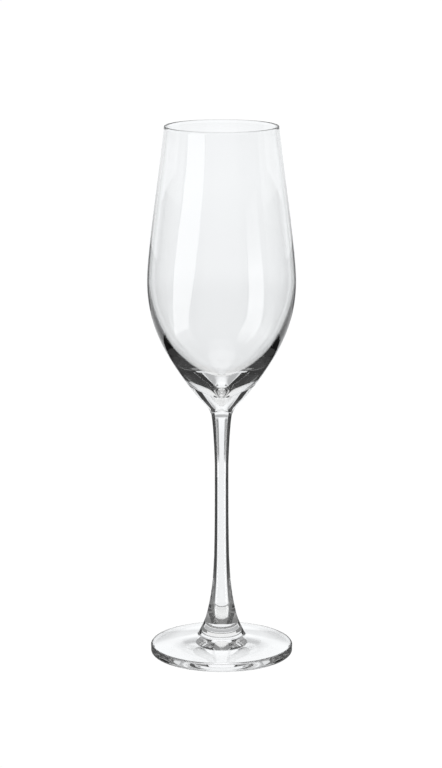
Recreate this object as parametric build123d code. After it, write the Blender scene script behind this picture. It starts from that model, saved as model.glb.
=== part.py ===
from build123d import *
from math import asin, cos, radians, sin
import os

# Champagne flute in clear glass. A blown bowl, a drawn stem and a pressed foot are
# three gathers of glass, melted together at two flat joints, the neck and the ankle.
# Millimetres. The origin is the centre of the circle that the foot stands on, +Z is up.
# Each piece is an outline of (radius, height) turned once round the Z axis.

# Foot
foot_diameter = 60.3
foot_edge = 4.0             # height of the rim of the foot
edge_top_round = 0.9
edge_bottom_round = 1.3
hub_diameter = 20.2         # where the hub meets the top of the foot
hub_base = 8.0              # height of that corner
hub_fillet = 0.8
hub_slope = 28.0            # degrees from upright, at the bottom of the hub
foot_height = 17.0          # floor to the ankle joint
ring_width = 2.15           # from the side of the foot in to the lip of the underside
recess_depth = 2.6          # shallow dome in the underside, inside the resting ring
recess_round = 0.8

# Stem
stem_length = 86.4          # ankle joint to neck joint
ankle_diameter = 12.6       # shared by the foot and the stem
ankle_slope = 13.5          # degrees from upright, shared by the foot and the stem
waist_diameter = 5.84       # thinnest part of the stem
waist_height = 64.4         # above the ankle joint
neck_diameter = 8.76        # shared by the stem and the bowl
neck_slope = 16.0           # degrees from upright, shared by the stem and the bowl

# Bowl
bowl_height = 121.6         # neck joint to rim
belly_diameter = 62.0       # widest part of the bowl
belly_height = 57.4         # above the neck joint
rim_diameter = 47.4
rim_lean = 5.6              # degrees that the wall leans in at the rim
wall = 0.7                  # thickness at the belly and the rim
base_depth = 10.65          # neck joint to the floor of the cavity

# Levels and radii that follow
foot_r = foot_diameter / 2
hub_r = hub_diameter / 2
recess_r = foot_r - ring_width
ankle_r = ankle_diameter / 2
waist_r = waist_diameter / 2
neck_r = neck_diameter / 2
belly_r = belly_diameter / 2
rim_r = rim_diameter / 2
ankle_z = foot_height
waist_z = ankle_z + waist_height
neck_z = ankle_z + stem_length
belly_z = neck_z + belly_height
rim_z = neck_z + bowl_height
floor_z = neck_z + base_depth


def along(point, slope, distance):
    # The point reached from a point by going up an outline that leans in by slope degrees.
    return (point[0] - distance * sin(radians(slope)), point[1] + distance * cos(radians(slope)))


def turned(outline):
    # The solid that a closed outline of (radius, height) sweeps in one turn round Z.
    return revolve(Plane.XZ * make_face(outline), Axis.Z)


def bowl():
    # The outline runs up the outside from the neck, over the round rim and down the cavity.
    side = rim_z - belly_z
    drop = belly_z - neck_z
    swell = belly_r - neck_r
    neck = (neck_r, neck_z)
    belly = (belly_r, belly_z)
    lean = radians(rim_lean)
    rim_centre = (rim_r - wall / 2, rim_z - wall / 2)
    across = (cos(lean) * wall / 2, sin(lean) * wall / 2)
    rim_outside = (rim_centre[0] + across[0], rim_centre[1] + across[1])
    rim_inside = (rim_centre[0] - across[0], rim_centre[1] - across[1])
    rim_top = along(rim_centre, rim_lean, wall / 2)
    inner_belly = (belly_r - wall, belly_z)
    cavity = belly_z - floor_z

    underside = Bezier(
        neck,
        along(neck, -neck_slope, 0.127 * drop),
        (neck_r + 0.19 * swell, neck_z + 0.043 * drop),
        (neck_r + 0.587 * swell, neck_z + 0.419 * drop),
        (belly_r, belly_z - 0.459 * drop),
        belly,
    )
    flank = Bezier(
        belly,
        (belly_r, belly_z + 0.187 * side),
        along(rim_outside, rim_lean, -0.234 * side),
        rim_outside,
    )
    rim = ThreePointArc(rim_outside, rim_top, rim_inside)
    inner_flank = Bezier(
        rim_inside,
        along(rim_inside, rim_lean, -0.234 * side),
        (inner_belly[0], belly_z + 0.187 * side),
        inner_belly,
    )
    cavity_floor = Bezier(
        inner_belly,
        (inner_belly[0], belly_z - 0.667 * cavity),
        (0.2 * inner_belly[0], floor_z + 0.016 * cavity),
        (0.012 * inner_belly[0], floor_z + 0.078 * cavity),
        (0.14 * inner_belly[0], floor_z),
        (0, floor_z),
    )
    axis_line = Line((0, floor_z), (0, neck_z))
    joint_line = Line((0, neck_z), neck)
    return turned([underside, flank, rim, inner_flank, cavity_floor, axis_line, joint_line])


def stem():
    # The outline runs from the ankle joint up past the waist to the neck joint.
    lower = waist_z - ankle_z
    upper = neck_z - waist_z
    ankle = (ankle_r, ankle_z)
    waist = (waist_r, waist_z)
    neck = (neck_r, neck_z)
    lower_side = Bezier(
        ankle,
        along(ankle, ankle_slope, 0.21 * lower),
        (waist_r, waist_z - 0.66 * lower),
        waist,
    )
    upper_side = Bezier(
        waist,
        (waist_r, waist_z + 0.18 * upper),
        along(neck, -neck_slope, -0.13 * upper),
        neck,
    )
    neck_line = Line(neck, (0, neck_z))
    axis_line = Line((0, neck_z), (0, ankle_z))
    ankle_line = Line((0, ankle_z), ankle)
    return turned([lower_side, upper_side, neck_line, axis_line, ankle_line])


def foot():
    # The outline runs from the ankle joint down the hub, out over the sloping top,
    # round the edge and in along the resting ring to the dome of the underside.
    hub_drop = ankle_z - hub_base
    ankle = (ankle_r, ankle_z)
    hub = (hub_r, hub_base)
    dome_r = (recess_r ** 2 + recess_depth ** 2) / (2 * recess_depth)
    half_angle = asin(recess_r / dome_r) / 2
    dome_middle = (dome_r * sin(half_angle), recess_depth - dome_r + dome_r * cos(half_angle))

    hub_side = Bezier(
        ankle,
        along(ankle, ankle_slope, -0.33 * hub_drop),
        along(hub, hub_slope, 0.33 * hub_drop),
        hub,
    )
    top = Line(hub, (foot_r, foot_edge))
    edge = Line((foot_r, foot_edge), (foot_r, 0))
    ring = Line((foot_r, 0), (recess_r, 0))
    dome = ThreePointArc((recess_r, 0), dome_middle, (0, recess_depth))
    axis_line = Line((0, recess_depth), (0, ankle_z))
    joint_line = Line((0, ankle_z), ankle)
    face = make_face([hub_side, top, edge, ring, dome, axis_line, joint_line])
    rounds = [
        (hub, hub_fillet),
        ((foot_r, foot_edge), edge_top_round),
        ((foot_r, 0), edge_bottom_round),
        ((recess_r, 0), recess_round),
    ]
    for corner, radius in rounds:
        face = fillet(face.vertices().sort_by_distance(corner)[0], radius)
    return revolve(Plane.XZ * face, Axis.Z)


os.makedirs("parts", exist_ok=True)
export_step(bowl(), "parts/bowl.step")
export_step(stem(), "parts/stem.step")
export_step(foot(), "parts/foot.step")
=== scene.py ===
import math

import bpy
import numpy as np
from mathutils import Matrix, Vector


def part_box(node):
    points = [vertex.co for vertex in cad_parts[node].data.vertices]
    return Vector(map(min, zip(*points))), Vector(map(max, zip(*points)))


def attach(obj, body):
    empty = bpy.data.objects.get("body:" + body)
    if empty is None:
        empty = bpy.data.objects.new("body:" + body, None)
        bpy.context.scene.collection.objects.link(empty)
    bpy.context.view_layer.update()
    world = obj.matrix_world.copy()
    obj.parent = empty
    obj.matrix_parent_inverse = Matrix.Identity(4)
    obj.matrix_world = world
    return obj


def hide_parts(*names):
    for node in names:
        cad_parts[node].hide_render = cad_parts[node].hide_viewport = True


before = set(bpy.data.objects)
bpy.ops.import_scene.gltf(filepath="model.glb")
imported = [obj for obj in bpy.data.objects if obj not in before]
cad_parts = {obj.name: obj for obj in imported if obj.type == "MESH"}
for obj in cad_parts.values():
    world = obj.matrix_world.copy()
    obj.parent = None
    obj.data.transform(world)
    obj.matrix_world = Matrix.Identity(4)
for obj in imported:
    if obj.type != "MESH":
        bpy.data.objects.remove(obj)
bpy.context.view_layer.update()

mm = 0.001
hair = 0.0001 * mm  # levels and reaches closer than this count as the same
stemLow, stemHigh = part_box("stem")
bowlLow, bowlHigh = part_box("bowl")
ankleLevel = stemLow[2]  # where stem and foot are melted together
neckLevel = stemHigh[2]  # where bowl and stem are melted together
rimLevel = bowlHigh[2]
print("frame loaded: ankle", round(ankleLevel, 4), "neck", round(neckLevel, 4), "rim", round(rimLevel, 4))

# sizes that two pieces share, and the points across each disc where they are melted together
joint = dict(
    neckRadius=4.38 * mm,
    neckSlope=16.0,  # degrees from upright
    ankleRadius=6.3 * mm,
    ankleSlope=13.5,
    discPoints=5,
)


# a curve from its control points: each point weighted by its Bernstein polynomial of t from 0 to 1
def sweepCurve(points, steps):
    points = np.array(points, dtype=float)
    order = len(points) - 1
    t = np.linspace(0.0, 1.0, steps)[:, None]
    curve = np.zeros((steps, 2))
    for k in range(order + 1):
        curve += math.comb(order, k) * (1 - t) ** (order - k) * t**k * points[k]
    return curve


# an arc: centre plus radius times cosine and sine of an angle running from start to end, in degrees
def sweepArc(centre, radius, start, end, steps):
    angle = np.radians(np.linspace(start, end, steps))
    return np.stack([centre[0] + radius * np.cos(angle), centre[1] + radius * np.sin(angle)], axis=1)


# a rounded corner: the arc of the given radius that touches both straight sides of the corner
def roundCorner(before, corner, after, radius, steps):
    before, corner, after = (np.array(p, dtype=float) for p in (before, corner, after))
    inward = (before - corner) / np.linalg.norm(before - corner)
    onward = (after - corner) / np.linalg.norm(after - corner)
    half = math.acos(float(np.clip(inward @ onward, -1, 1))) / 2
    bisector = (inward + onward) / np.linalg.norm(inward + onward)
    centre = corner + bisector * radius / math.sin(half)
    first = corner + inward * radius / math.tan(half) - centre
    last = corner + onward * radius / math.tan(half) - centre
    start = math.atan2(first[1], first[0])
    end = math.atan2(last[1], last[0])
    end += 2 * math.pi * round((start - end) / (2 * math.pi))  # the short way round
    return sweepArc(centre, radius, math.degrees(start), math.degrees(end), steps)


# the point reached by going up an outline that leans in by slope degrees:
# the start less distance times the sine of the slope outwards, plus distance times its cosine upwards
def along(point, slope, distance):
    slope = math.radians(slope)
    return (point[0] - distance * math.sin(slope), point[1] + distance * math.cos(slope))


# one outline from several stretches end to end, each shared end point kept once
def chain(*stretches):
    return np.concatenate([s[1:] if k else s for k, s in enumerate(stretches)])


# marks the widest ring of each disc as a crisp edge, so that shading is split there: its edges are those
# with both ends on the level and at the greatest reach, the root of x squared plus y squared
def splitShading(mesh, verts, discLevels):
    ends = np.empty(len(mesh.edges) * 2, dtype=int)
    mesh.edges.foreach_get("vertices", ends)
    ends = ends.reshape(-1, 2)
    reach = np.hypot(verts[:, 0], verts[:, 1])
    crisp = np.zeros(len(mesh.edges), dtype=bool)
    for level in discLevels:
        onLevel = np.abs(verts[:, 2] - level) < hair
        widest = onLevel & (reach > reach[onLevel].max() - hair)
        crisp |= widest[ends].all(axis=1)
    attribute = mesh.attributes.new("sharp_edge", "BOOLEAN", "EDGE")
    attribute.data.foreach_set("value", crisp)


# glass turned round the upright: the radius along the outline times cosine and sine of the turn, with its
# height. Each end of the outline is one pole on the axis, and faces on a disc level take the second material
def turnGlass(name, outline, around, materials, discLevels):
    radius, height = outline[:, 0], outline[:, 1]
    turn = np.linspace(0, 2 * math.pi, around, endpoint=False)
    inner = radius[1:-1]
    ring = np.stack([
        inner[:, None] * np.cos(turn)[None],
        inner[:, None] * np.sin(turn)[None],
        np.repeat(height[1:-1, None], around, axis=1),
    ], axis=2).reshape(-1, 3)
    poles = np.array([[0, 0, height[0]], [0, 0, height[-1]]])
    verts = np.concatenate([ring, poles])
    rows = len(inner)
    i, j = np.meshgrid(np.arange(rows - 1), np.arange(around), indexing="ij")
    k = (j + 1) % around
    row, above = i * around, (i + 1) * around
    quads = np.stack([row + j, row + k, above + k, above + j], axis=2).reshape(-1, 4)
    j = np.arange(around)
    k = (j + 1) % around
    lastRow = (rows - 1) * around
    firstFan = np.stack([k, j, np.full(around, rows * around)], axis=1)
    lastFan = np.stack([lastRow + j, lastRow + k, np.full(around, rows * around + 1)], axis=1)
    loops = np.concatenate([quads.ravel(), firstFan.ravel(), lastFan.ravel()])
    sizes = np.concatenate([np.full(len(quads), 4), np.full(2 * around, 3)])
    mesh = bpy.data.meshes.new(name)
    mesh.vertices.add(len(verts))
    mesh.vertices.foreach_set("co", verts.ravel())
    mesh.loops.add(len(loops))
    mesh.loops.foreach_set("vertex_index", loops)
    mesh.polygons.add(len(sizes))
    mesh.polygons.foreach_set("loop_start", np.concatenate([[0], np.cumsum(sizes)[:-1]]))
    mesh.update(calc_edges=True)
    for material in materials:
        mesh.materials.append(material)
    mesh.polygons.foreach_set("use_smooth", np.ones(len(sizes), dtype=bool))
    centres = np.empty(len(sizes) * 3)
    mesh.polygons.foreach_get("center", centres)
    faceLevels = centres.reshape(-1, 3)[:, 2]
    slots = np.zeros(len(sizes), dtype=int)
    for level in discLevels:
        slots[np.abs(faceLevels - level) < hair] = 1
    mesh.polygons.foreach_set("material_index", slots)
    splitShading(mesh, verts, discLevels)
    mesh.validate()
    piece = bpy.data.objects.new(name, mesh)
    bpy.context.scene.collection.objects.link(piece)
    print("made", name, "with", len(mesh.polygons), "faces")
    return piece


# each kind of glass: a tint that drifts between two values, a painted shade that darkens it at grazing
# angles, the roughness of its polish, and the waves left by drawing and blowing it
bowlLook = dict(
    name="clearGlassBowl",
    ior=1.5,
    tintThin=(0.986, 0.991, 0.991),
    tintThick=(0.991, 0.994, 0.994),
    # painted shade: a darker tint mixed in towards grazing angles, standing in for the dark edges of the
    # glass
    paintedEdgeShade=(0.975, 0.985, 0.985),
    edgeBlend=0.12,
    cloudScale=22.0,
    cloudDetail=3.0,
    polishLow=0.0,
    polishHigh=0.004,
    waveScale=5.0,
    waveDetail=1.0,
    waveAcross=6.0,
    waveUpright=0.15,  # share of the waves across: the lower it is, the longer they run upwards
    waveDepth=0.02 * mm,
)
stemLook = dict(
    bowlLook,
    name="clearGlassStem",
    cloudScale=60.0,
    waveAcross=14.0,
    waveDepth=0.01 * mm,
)
footLook = dict(
    bowlLook,
    name="clearGlassFoot",
    cloudScale=40.0,
    # painted shade at the foot's edges, darker than on the bowl
    paintedEdgeShade=(0.955, 0.978, 0.968),
    waveDepth=0.01 * mm,
)


# clear glass: clouds of noise mix the two tints and set the polish, the facing share of the layer weight
# mixes in a painted shade that darkens the edges at grazing angles, and stretched noise is the height of the
# waves
def makeGlass(look):
    material = bpy.data.materials.new(look["name"])
    material.use_nodes = True
    nodes = material.node_tree.nodes
    links = material.node_tree.links
    shader = nodes["Principled BSDF"]
    shader.inputs["IOR"].default_value = look["ior"]
    shader.inputs["Transmission Weight"].default_value = 1.0
    place = nodes.new("ShaderNodeTexCoord")
    clouds = nodes.new("ShaderNodeTexNoise")
    clouds.inputs["Scale"].default_value = look["cloudScale"]
    clouds.inputs["Detail"].default_value = look["cloudDetail"]
    tint = nodes.new("ShaderNodeMix")
    tint.data_type = "RGBA"
    tint.inputs["A"].default_value = (*look["tintThin"], 1)
    tint.inputs["B"].default_value = (*look["tintThick"], 1)
    # painted shade: the facing share of the layer weight darkens the base colour towards the outline of the
    # glass
    edge = nodes.new("ShaderNodeLayerWeight")
    edge.inputs["Blend"].default_value = look["edgeBlend"]
    edgeShaded = nodes.new("ShaderNodeMix")
    edgeShaded.data_type = "RGBA"
    edgeShaded.inputs["B"].default_value = (*look["paintedEdgeShade"], 1)
    polish = nodes.new("ShaderNodeMapRange")
    polish.inputs["To Min"].default_value = look["polishLow"]
    polish.inputs["To Max"].default_value = look["polishHigh"]
    stretch = nodes.new("ShaderNodeMapping")
    across = look["waveAcross"]
    stretch.inputs["Scale"].default_value = (across, across, look["waveUpright"] * across)
    waves = nodes.new("ShaderNodeTexNoise")
    waves.inputs["Scale"].default_value = look["waveScale"]
    waves.inputs["Detail"].default_value = look["waveDetail"]
    bump = nodes.new("ShaderNodeBump")
    bump.inputs["Distance"].default_value = look["waveDepth"]
    links.new(place.outputs["Object"], clouds.inputs["Vector"])
    links.new(clouds.outputs["Fac"], tint.inputs["Factor"])
    links.new(tint.outputs["Result"], edgeShaded.inputs["A"])
    links.new(edge.outputs["Facing"], edgeShaded.inputs["Factor"])
    links.new(edgeShaded.outputs["Result"], shader.inputs["Base Color"])
    links.new(clouds.outputs["Fac"], polish.inputs["Value"])
    links.new(polish.outputs["Result"], shader.inputs["Roughness"])
    links.new(place.outputs["Object"], stretch.inputs["Vector"])
    links.new(stretch.outputs["Vector"], waves.inputs["Vector"])
    links.new(waves.outputs["Fac"], bump.inputs["Height"])
    links.new(bump.outputs["Normal"], shader.inputs["Normal"])
    return material


# the discs inside the glass where two pieces are melted together: light goes straight through
def makeFusedJoint():
    material = bpy.data.materials.new("fusedJoint")
    material.use_nodes = True
    shader = material.node_tree.nodes["Principled BSDF"]
    shader.inputs["Alpha"].default_value = 0.0
    shader.inputs["IOR"].default_value = 1.0
    return material


fusedJoint = makeFusedJoint()
print("glass materials ready")

# the bowl; the pulls place the control points of its curves, as shares of the stretch they bend
bowl = dict(
    bellyRadius=31.0 * mm,
    bellyAboveNeck=57.4 * mm,
    rimRadius=23.7 * mm,
    rimLean=5.6,  # degrees
    wall=0.7 * mm,
    baseDepth=10.65 * mm,  # neck to the floor of the cavity
    neckPull=0.127,
    flarePull=(0.19, 0.043),
    swellPull=(0.587, 0.419),
    bellyPull=0.459,
    flankPull=0.187,
    rimPull=0.234,
    cavityPull=0.667,
    cavityBend=(0.2, 0.016),
    cavityDip=(0.012, 0.078),
    cavityFloor=0.14,
    undersideSteps=110,
    flankSteps=50,
    rimSteps=13,
    cavitySteps=140,
    around=224,
)


# the outline from the middle of the neck disc up the outside, over the round rim and down the cavity
def bowlOutline(b):
    bellyLevel = neckLevel + b["bellyAboveNeck"]
    floorLevel = neckLevel + b["baseDepth"]
    side = rimLevel - bellyLevel
    drop = b["bellyAboveNeck"]
    swell = b["bellyRadius"] - joint["neckRadius"]
    neck = (joint["neckRadius"], neckLevel)
    belly = (b["bellyRadius"], bellyLevel)
    halfWall = b["wall"] / 2
    rimCentre = (b["rimRadius"] - halfWall, rimLevel - halfWall)
    rim = sweepArc(rimCentre, halfWall, b["rimLean"], 180 + b["rimLean"], b["rimSteps"])
    cavity = bellyLevel - floorLevel
    inner = b["bellyRadius"] - b["wall"]
    underside = sweepCurve([
        neck,
        along(neck, -joint["neckSlope"], b["neckPull"] * drop),
        (neck[0] + b["flarePull"][0] * swell, neckLevel + b["flarePull"][1] * drop),
        (neck[0] + b["swellPull"][0] * swell, neckLevel + b["swellPull"][1] * drop),
        (belly[0], bellyLevel - b["bellyPull"] * drop),
        belly,
    ], b["undersideSteps"])
    flank = sweepCurve([
        belly,
        (belly[0], bellyLevel + b["flankPull"] * side),
        along(rim[0], b["rimLean"], -b["rimPull"] * side),
        rim[0],
    ], b["flankSteps"])
    innerFlank = sweepCurve([
        rim[-1],
        along(rim[-1], b["rimLean"], -b["rimPull"] * side),
        (inner, bellyLevel + b["flankPull"] * side),
        (inner, bellyLevel),
    ], b["flankSteps"])
    cavityFloor = sweepCurve([
        (inner, bellyLevel),
        (inner, bellyLevel - b["cavityPull"] * cavity),
        (b["cavityBend"][0] * inner, floorLevel + b["cavityBend"][1] * cavity),
        (b["cavityDip"][0] * inner, floorLevel + b["cavityDip"][1] * cavity),
        (b["cavityFloor"] * inner, floorLevel),
        (0, floorLevel),
    ], b["cavitySteps"])
    disc = np.linspace((0, neckLevel), neck, joint["discPoints"])
    return chain(disc, underside, flank, rim, innerFlank, cavityFloor)


bowlGlasses = [makeGlass(bowlLook), fusedJoint]
bowlPiece = turnGlass("bowlGlass", bowlOutline(bowl), bowl["around"], bowlGlasses, [neckLevel])
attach(bowlPiece, "root")
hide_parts("bowl")

stem = dict(
    waistRadius=2.92 * mm,
    waistAboveAnkle=64.4 * mm,
    anklePull=0.21,
    lowerWaistPull=0.66,
    upperWaistPull=0.18,
    neckPull=0.13,
    lowerSteps=90,
    upperSteps=60,
    around=128,
)


# the outline from the middle of the ankle disc, up past the waist, to the middle of the neck disc
def stemOutline(s):
    waistLevel = ankleLevel + s["waistAboveAnkle"]
    lower = s["waistAboveAnkle"]
    upper = neckLevel - waistLevel
    ankle = (joint["ankleRadius"], ankleLevel)
    waist = (s["waistRadius"], waistLevel)
    neck = (joint["neckRadius"], neckLevel)
    lowerSide = sweepCurve([
        ankle,
        along(ankle, joint["ankleSlope"], s["anklePull"] * lower),
        (waist[0], waistLevel - s["lowerWaistPull"] * lower),
        waist,
    ], s["lowerSteps"])
    upperSide = sweepCurve([
        waist,
        (waist[0], waistLevel + s["upperWaistPull"] * upper),
        along(neck, -joint["neckSlope"], -s["neckPull"] * upper),
        neck,
    ], s["upperSteps"])
    ankleDisc = np.linspace((0, ankleLevel), ankle, joint["discPoints"])
    neckDisc = np.linspace(neck, (0, neckLevel), joint["discPoints"])
    return chain(ankleDisc, lowerSide, upperSide, neckDisc)


stemGlasses = [makeGlass(stemLook), fusedJoint]
stemPiece = turnGlass("stemGlass", stemOutline(stem), stem["around"], stemGlasses, [ankleLevel, neckLevel])
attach(stemPiece, "root")
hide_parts("stem")

foot = dict(
    radius=30.15 * mm,
    edge=4.0 * mm,
    edgeTopRound=0.9 * mm,
    edgeBottomRound=1.3 * mm,
    hubRadius=10.1 * mm,
    hubBase=8.0 * mm,
    hubFillet=0.8 * mm,
    hubSlope=28.0,  # degrees from upright
    hubPull=0.33,
    ringWidth=2.15 * mm,  # from the side of the foot in to the lip of the underside
    recessDepth=2.6 * mm,
    recessRound=0.8 * mm,
    hubGuide=-3,  # the points of the hub's side and of the dome that their rounded corners aim at
    domeGuide=4,
    cornerGap=0.1 * mm,  # what is left free between a curve and the rounded corner at its end
    hubSteps=40,
    filletSteps=10,
    topSteps=40,
    edgeSteps=14,
    ringSteps=12,
    lipSteps=8,
    domeSteps=60,
    around=224,
)


# the outline, worked out from the ankle disc down the hub, over the top, round the edge and in along
# the ring and the dome of the underside, and given back the other way round
def footOutline(f):
    drop = ankleLevel - f["hubBase"]
    ankle = (joint["ankleRadius"], ankleLevel)
    hub = (f["hubRadius"], f["hubBase"])
    shoulder = (f["radius"], f["edge"])
    toe = (f["radius"], 0.0)
    lip = (f["radius"] - f["ringWidth"], 0.0)
    domeRadius = (lip[0] ** 2 + f["recessDepth"] ** 2) / (2 * f["recessDepth"])
    domeCentre = (0.0, f["recessDepth"] - domeRadius)
    lipAngle = math.degrees(math.asin(lip[0] / domeRadius))
    hubSide = sweepCurve([
        ankle,
        along(ankle, joint["ankleSlope"], -f["hubPull"] * drop),
        along(hub, f["hubSlope"], f["hubPull"] * drop),
        hub,
    ], f["hubSteps"])
    hubCorner = roundCorner(hubSide[f["hubGuide"]], hub, shoulder, f["hubFillet"], f["filletSteps"])
    edgeTop = roundCorner(hub, shoulder, toe, f["edgeTopRound"], f["edgeSteps"])
    edgeBottom = roundCorner(shoulder, toe, lip, f["edgeBottomRound"], f["edgeSteps"])
    dome = sweepArc(domeCentre, domeRadius, 90 - lipAngle, 90, f["domeSteps"])
    lipCorner = roundCorner(toe, lip, dome[f["domeGuide"]], f["recessRound"], f["lipSteps"])
    top = np.linspace(hubCorner[-1], edgeTop[0], f["topSteps"])
    ring = np.linspace(edgeBottom[-1], lipCorner[0], f["ringSteps"])
    hubSide = hubSide[hubSide[:, 1] > hubCorner[0, 1] + f["cornerGap"]]
    dome = dome[dome[:, 0] < lipCorner[-1, 0] - f["cornerGap"]]
    disc = np.linspace((0, ankleLevel), ankle, joint["discPoints"])
    upper = [disc, hubSide[1:], hubCorner, top[1:-1], edgeTop]
    lower = [edgeBottom, ring[1:-1], lipCorner, dome]
    return np.concatenate(upper + lower)[::-1]


footGlasses = [makeGlass(footLook), fusedJoint]
footPiece = turnGlass("footGlass", footOutline(foot), foot["around"], footGlasses, [ankleLevel])
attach(footPiece, "root")
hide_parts("foot")

# the camera: metres from the glass and above the table, degrees downwards, and the lens in millimetres
view = dict(
    distance=1.1138,
    height=0.3528,
    tilt=11.97,
    lens=127.5,
    sensor=36.0,
    shiftX=-0.0008,
    farthest=20.0,
)

cameraData = bpy.data.cameras.new("camera")
cameraData.lens = view["lens"]
cameraData.sensor_width = view["sensor"]
cameraData.shift_x = view["shiftX"]
cameraData.clip_end = view["farthest"]
camera = bpy.data.objects.new("camera", cameraData)
camera.location = (0, -view["distance"], view["height"])
camera.rotation_euler = (math.radians(90 - view["tilt"]), 0, 0)
bpy.context.scene.collection.objects.link(camera)
bpy.context.scene.camera = camera
print("camera ready")

# the studio, laid out from the glass in metres. Angles are compass angles in degrees: 0 is straight behind
# the glass and 180 the camera's side. Graded glows are listed by height, as (height, strength).
studio = dict(
    whiteGlow=1.02,  # what the camera sees round the glass
    roomGlow=0.3,
    backDistance=1.5,
    backColour=(0.98, 0.988, 1.0),
    backBottom=-1.0,
    backTop=3.0,
    backOverlap=1.1,  # the share by which the backdrop and the white under it run past each other
    middleAngle=13.0,
    halfAngle=27.0,
    sideAngle=60.0,
    backGlow=[(-1.0, 0.95), (-0.25, 0.965), (-0.15, 0.975), (-0.1, 1.03), (-0.05, 1.04), (0.0, 1.07),
              (0.045, 1.06), (0.065, 0.97), (0.1, 0.95), (0.16, 0.5), (0.4, 0.5), (0.5, 1.05), (3.0, 1.05)],
    edgeGlow=[(-1.0, 0.95), (-0.25, 0.95), (-0.2, 0.3), (-0.02, 0.3), (0.03, 0.6), (0.1, 0.9),
              (0.16, 0.5), (0.4, 0.5), (0.5, 1.05), (3.0, 1.05)],
    sideGlow=[(-1.0, 0.85), (0.3, 0.85), (0.6, 1.05), (3.0, 1.05)],
    overheadGlow=0.95,
    underGlow=0.93,
    nearUnderGlow=0.85,
    floorLevel=-0.2 * mm,
    floorReach=12.0,
)

# dark cards close to the glass, alike on both sides, each with its angles, its top and its glow
cards = dict(
    distance=0.11,
    bottom=-0.3,
    lowTop=0.09,
    upTop=0.165,
    sideTop=0.2,
    lowAngles=(27.0, 72.0),
    sideAngles=(72.0, 120.0),
    frontAngles=(120.0, 145.0),
    lowGlow=[(-0.3, 0.25), (-0.05, 0.25), (0.0, 0.05), (0.15, 0.04)],
    upGlow=0.04,
    sideGlow=[(-0.3, 0.2), (-0.1, 0.25), (0.0, 0.5), (0.04, 0.9), (0.07, 0.38), (0.085, 0.045), (0.2, 0.04)],
    frontGlow=[(-0.3, 0.1), (0.02, 0.1), (0.05, 0.3), (0.07, 0.3), (0.085, 0.045), (0.2, 0.04)],
    shadeGap=2 * mm,  # a last card just outside the others, for reflections of the sides
    shadeTop=0.05,
    shadeAngles=(72.0, 125.0),
    shadeGlow=0.05,
    roomDistance=0.95,
    roomBottom=-0.6,
    roomTop=1.0,
    roomAngles=(60.0, 105.0),
    roomGlow=0.6,
)

# two tall softboxes in front: rows of (height, from angle, to angle), shaped to the reflections on the bowl
softboxes = dict(
    distance=0.9,
    leftRows=[(-0.5, 241, 278), (-0.26, 234, 266), (-0.08, 228, 260), (0.15, 222, 257), (0.22, 219, 254),
              (0.29, 214, 247), (0.36, 208, 243)],
    leftGlow=[(-0.5, 2.2), (-0.26, 3.2), (-0.08, 3.6), (0.15, 3.1), (0.22, 3.0), (0.29, 2.6), (0.36, 2.4)],
    rightRows=[(-0.9, 124, 148), (-0.67, 115, 148), (-0.44, 110, 141), (-0.27, 110, 138), (-0.08, 112, 138),
               (0.16, 114, 139), (0.28, 118, 139)],
    rightGlow=[(-0.9, 0.8), (-0.67, 1.8), (-0.44, 2.6), (-0.27, 3.2), (-0.08, 3.7), (0.16, 2.8), (0.24, 1.3),
               (0.28, 0.6)],
)

# bounces of light in all, and of each kind: it passes through many faces of glass before it meets a sheet
bounces = dict(most=24, throughGlass=20, reflected=12, throughClear=24)

# the light stand stays at the glass and turns about the upright, so that the backdrop is opposite the camera
lightStand = bpy.data.objects.new("lightStand", None)
bpy.context.scene.collection.objects.link(lightStand)
turnToCamera = lightStand.constraints.new("LOCKED_TRACK")
turnToCamera.target = camera
turnToCamera.lock_axis = "LOCK_Z"
turnToCamera.track_axis = "TRACK_NEGATIVE_Y"


# a material that only glows
def emitter(name, strength):
    material = bpy.data.materials.new(name)
    material.use_nodes = True
    nodes = material.node_tree.nodes
    nodes.clear()
    output = nodes.new("ShaderNodeOutputMaterial")
    glow = nodes.new("ShaderNodeEmission")
    glow.inputs["Strength"].default_value = strength
    material.node_tree.links.new(glow.outputs[0], output.inputs["Surface"])
    return material


# a glow that changes with height: straight lines between (height, strength) stops
def gradedEmitter(name, stops, colour=(1, 1, 1)):
    material = emitter(name, 1.0)
    nodes = material.node_tree.nodes
    links = material.node_tree.links
    lowest, highest = stops[0][0], stops[-1][0]
    place = nodes.new("ShaderNodeTexCoord")
    split = nodes.new("ShaderNodeSeparateXYZ")
    share = nodes.new("ShaderNodeMapRange")
    share.inputs["From Min"].default_value = lowest
    share.inputs["From Max"].default_value = highest
    ramp = nodes.new("ShaderNodeFloatCurve")
    curve = ramp.mapping.curves[0]
    brightest = max(glow for height, glow in stops)
    while len(curve.points) < len(stops):
        curve.points.new(0.5, 0.5)
    for point, (height, glow) in zip(curve.points, stops):
        point.handle_type = "VECTOR"
        point.location = ((height - lowest) / (highest - lowest), glow / brightest)
    ramp.mapping.update()
    strength = nodes.new("ShaderNodeMath")
    strength.operation = "MULTIPLY"
    strength.inputs[1].default_value = brightest
    links.new(place.outputs["Object"], split.inputs[0])
    links.new(split.outputs["Z"], share.inputs["Value"])
    links.new(share.outputs[0], ramp.inputs["Value"])
    links.new(ramp.outputs[0], strength.inputs[0])
    links.new(strength.outputs[0], nodes["Emission"].inputs["Strength"])
    nodes["Emission"].inputs["Color"].default_value = (*colour, 1)
    return material


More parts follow.
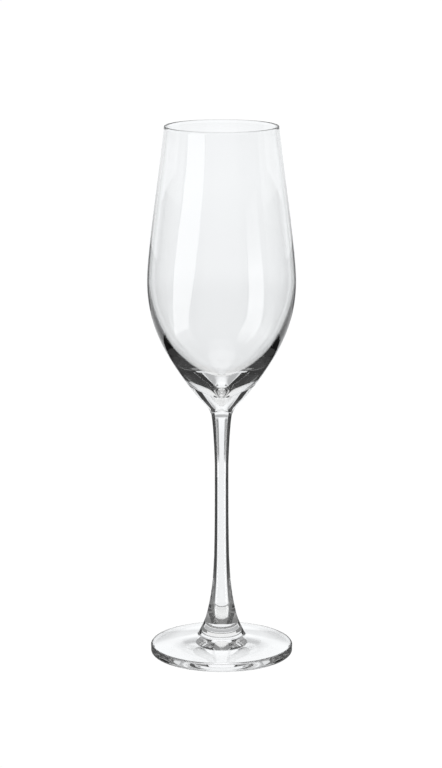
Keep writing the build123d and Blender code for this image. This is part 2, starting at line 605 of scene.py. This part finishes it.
# shows a glow only to the rays whose light path measure is less, or greater, than a half,
# and is clear to all others
def showWhere(material, measure, operation):
    nodes = material.node_tree.nodes
    links = material.node_tree.links
    path = nodes.new("ShaderNodeLightPath")
    pick = nodes.new("ShaderNodeMath")
    pick.operation = operation
    pick.inputs[1].default_value = 0.5
    clear = nodes.new("ShaderNodeBsdfTransparent")
    mix = nodes.new("ShaderNodeMixShader")
    links.new(path.outputs[measure], pick.inputs[0])
    links.new(pick.outputs[0], mix.inputs[0])
    links.new(clear.outputs[0], mix.inputs[1])
    links.new(nodes["Emission"].outputs[0], mix.inputs[2])
    links.new(mix.outputs[0], nodes["Material Output"].inputs["Surface"])
    return material


# a glow for the rays that have passed through no glass: fewer than one pass
def onlyOutside(material):
    return showWhere(material, "Transmission Depth", "LESS_THAN")


# a glow for the rays that have passed through glass: one pass or more
def onlyThroughGlass(material):
    return showWhere(material, "Transmission Depth", "GREATER_THAN")


# a sheet through rows of points, each row joined to the next by flat faces
def makeSheet(name, rows, material, onStand=True):
    width = len(rows[0])
    points = [tuple(p) for row in rows for p in row]
    faces = []
    for i in range(len(rows) - 1):
        for j in range(width - 1):
            a = i * width + j
            faces.append((a, a + 1, a + width + 1, a + width))
    mesh = bpy.data.meshes.new(name)
    mesh.from_pydata(points, [], faces)
    mesh.materials.append(material)
    sheet = bpy.data.objects.new(name, mesh)
    bpy.context.scene.collection.objects.link(sheet)
    if onStand:
        sheet.parent = lightStand
        sheet.visible_camera = False
    return sheet


# one level row of points round the glass: distance times the sine and cosine of the compass angle
def compassRow(fromAngle, toAngle, distance, level, steps=13):
    angle = np.radians(np.linspace(fromAngle, toAngle, steps))
    return np.stack([distance * np.sin(angle), distance * np.cos(angle), np.full(steps, level)], axis=1)


# an upright curved screen from rows of (height, from angle, to angle)
def makeScreen(name, rows, distance, material):
    return makeSheet(name, [compassRow(start, end, distance, level) for level, start, end in rows], material)


# a plain screen between two heights
def makePanel(name, angles, bottom, top, distance, material):
    return makeScreen(name, [(bottom, *angles), (top, *angles)], distance, material)


# part of a level disc between two compass angles and two distances
def makeFan(name, angles, distances, level, material):
    return makeSheet(name, [compassRow(*angles, distance, level) for distance in distances], material)


# white straight to the camera, a dim room to every other ray
def makeWorld(s):
    world = bpy.data.worlds.new("studioRoom")
    world.use_nodes = True
    nodes = world.node_tree.nodes
    links = world.node_tree.links
    nodes.clear()
    output = nodes.new("ShaderNodeOutputWorld")
    path = nodes.new("ShaderNodeLightPath")
    room = nodes.new("ShaderNodeBackground")
    room.inputs["Strength"].default_value = s["roomGlow"]
    white = nodes.new("ShaderNodeBackground")
    white.inputs["Strength"].default_value = s["whiteGlow"]
    mix = nodes.new("ShaderNodeMixShader")
    links.new(path.outputs["Is Camera Ray"], mix.inputs[0])
    links.new(room.outputs[0], mix.inputs[1])
    links.new(white.outputs[0], mix.inputs[2])
    links.new(mix.outputs[0], output.inputs["Surface"])
    bpy.context.scene.world = world


# a pale floor: white straight to the camera, clear to the rays that have met the glass
def makeFloor(s):
    material = showWhere(emitter("paleFloor", s["whiteGlow"]), "Is Camera Ray", "GREATER_THAN")
    ends = (-s["floorReach"], s["floorReach"])
    corners = [[(x, y, s["floorLevel"]) for x in ends] for y in ends]
    return makeSheet("floor", corners, material, onStand=False)


# the white backdrop in five upright panels, with white above it and below
def makeBackdrop(s):
    far, middle, half, side = s["backDistance"], s["middleAngle"], s["halfAngle"], s["sideAngle"]
    bottom, top = s["backBottom"], s["backTop"]
    low = bottom * s["backOverlap"]
    backWhite = gradedEmitter("backWhite", s["backGlow"], s["backColour"])
    backEdge = gradedEmitter("backEdge", s["edgeGlow"], s["backColour"])
    sideWhite = gradedEmitter("sideWhite", s["sideGlow"], s["backColour"])
    makePanel("backdropMiddle", (-middle, middle), low, top, far, backWhite)
    makePanel("backdropEdgeLeft", (-half, -middle), low, top, far, backEdge)
    makePanel("backdropEdgeRight", (middle, half), low, top, far, backEdge)
    makePanel("backdropLeft", (-side, -half), bottom, top, far, sideWhite)
    makePanel("backdropRight", (half, side), bottom, top, far, sideWhite)
    makeFan("overhead", (-180, 180), (0.0, far), top, emitter("overheadWhite", s["overheadGlow"]))
    underWhite = emitter("underWhite", s["underGlow"])
    makeFan("underBack", (-half, half), (0.0, far * s["backOverlap"]), bottom, underWhite)


# the dark cards, the lit room beyond them and the white under the glass
def makeCards(c, s):
    lowCard = gradedEmitter("lowCard", c["lowGlow"])
    upCard = onlyThroughGlass(emitter("upCard", c["upGlow"]))
    sideCard = onlyThroughGlass(gradedEmitter("sideCard", c["sideGlow"]))
    frontCard = onlyThroughGlass(gradedEmitter("frontCard", c["frontGlow"]))
    shade = onlyOutside(emitter("shade", c["shadeGlow"]))
    sideRoom = emitter("sideRoom", c["roomGlow"])
    near, bottom = c["distance"], c["bottom"]
    panels = [
        ("lowCard", c["lowAngles"], bottom, c["lowTop"], near, lowCard),
        ("upCard", c["lowAngles"], c["lowTop"], c["upTop"], near, upCard),
        ("sideCard", c["sideAngles"], bottom, c["sideTop"], near, sideCard),
        ("frontCard", c["frontAngles"], bottom, c["sideTop"], near, frontCard),
        ("shade", c["shadeAngles"], bottom, c["shadeTop"], near + c["shadeGap"], shade),
        ("sideRoom", c["roomAngles"], c["roomBottom"], c["roomTop"], c["roomDistance"], sideRoom),
    ]
    for side, turn in (("Left", -1), ("Right", 1)):
        for name, angles, low, high, distance, material in panels:
            makePanel(name + side, [turn * angle for angle in angles], low, high, distance, material)
    under = emitter("underGrey", s["nearUnderGlow"])
    back, front = s["halfAngle"], c["frontAngles"][1]
    makeFan("underLeft", (back, front), (0.0, near), bottom, under)
    makeFan("underRight", (-front, -back), (0.0, near), bottom, under)
    makeFan("underFront", (front, 360 - front), (0.0, near), bottom, under)


# the two softboxes, for reflections on the outside of the glass only
def makeSoftboxes(b):
    leftGlow = onlyOutside(gradedEmitter("leftGlow", b["leftGlow"]))
    rightGlow = onlyOutside(gradedEmitter("rightGlow", b["rightGlow"]))
    makeScreen("leftSoftbox", b["leftRows"], b["distance"], leftGlow)
    makeScreen("rightSoftbox", b["rightRows"], b["distance"], rightGlow)


makeWorld(studio)
makeFloor(studio)
makeBackdrop(studio)
makeCards(cards, studio)
makeSoftboxes(softboxes)

scene = bpy.context.scene
scene.view_settings.view_transform = "Standard"
scene.cycles.max_bounces = bounces["most"]
scene.cycles.transmission_bounces = bounces["throughGlass"]
scene.cycles.glossy_bounces = bounces["reflected"]
scene.cycles.transparent_max_bounces = bounces["throughClear"]
scene.cycles.caustics_refractive = True
scene.cycles.caustics_reflective = True
print("studio ready")
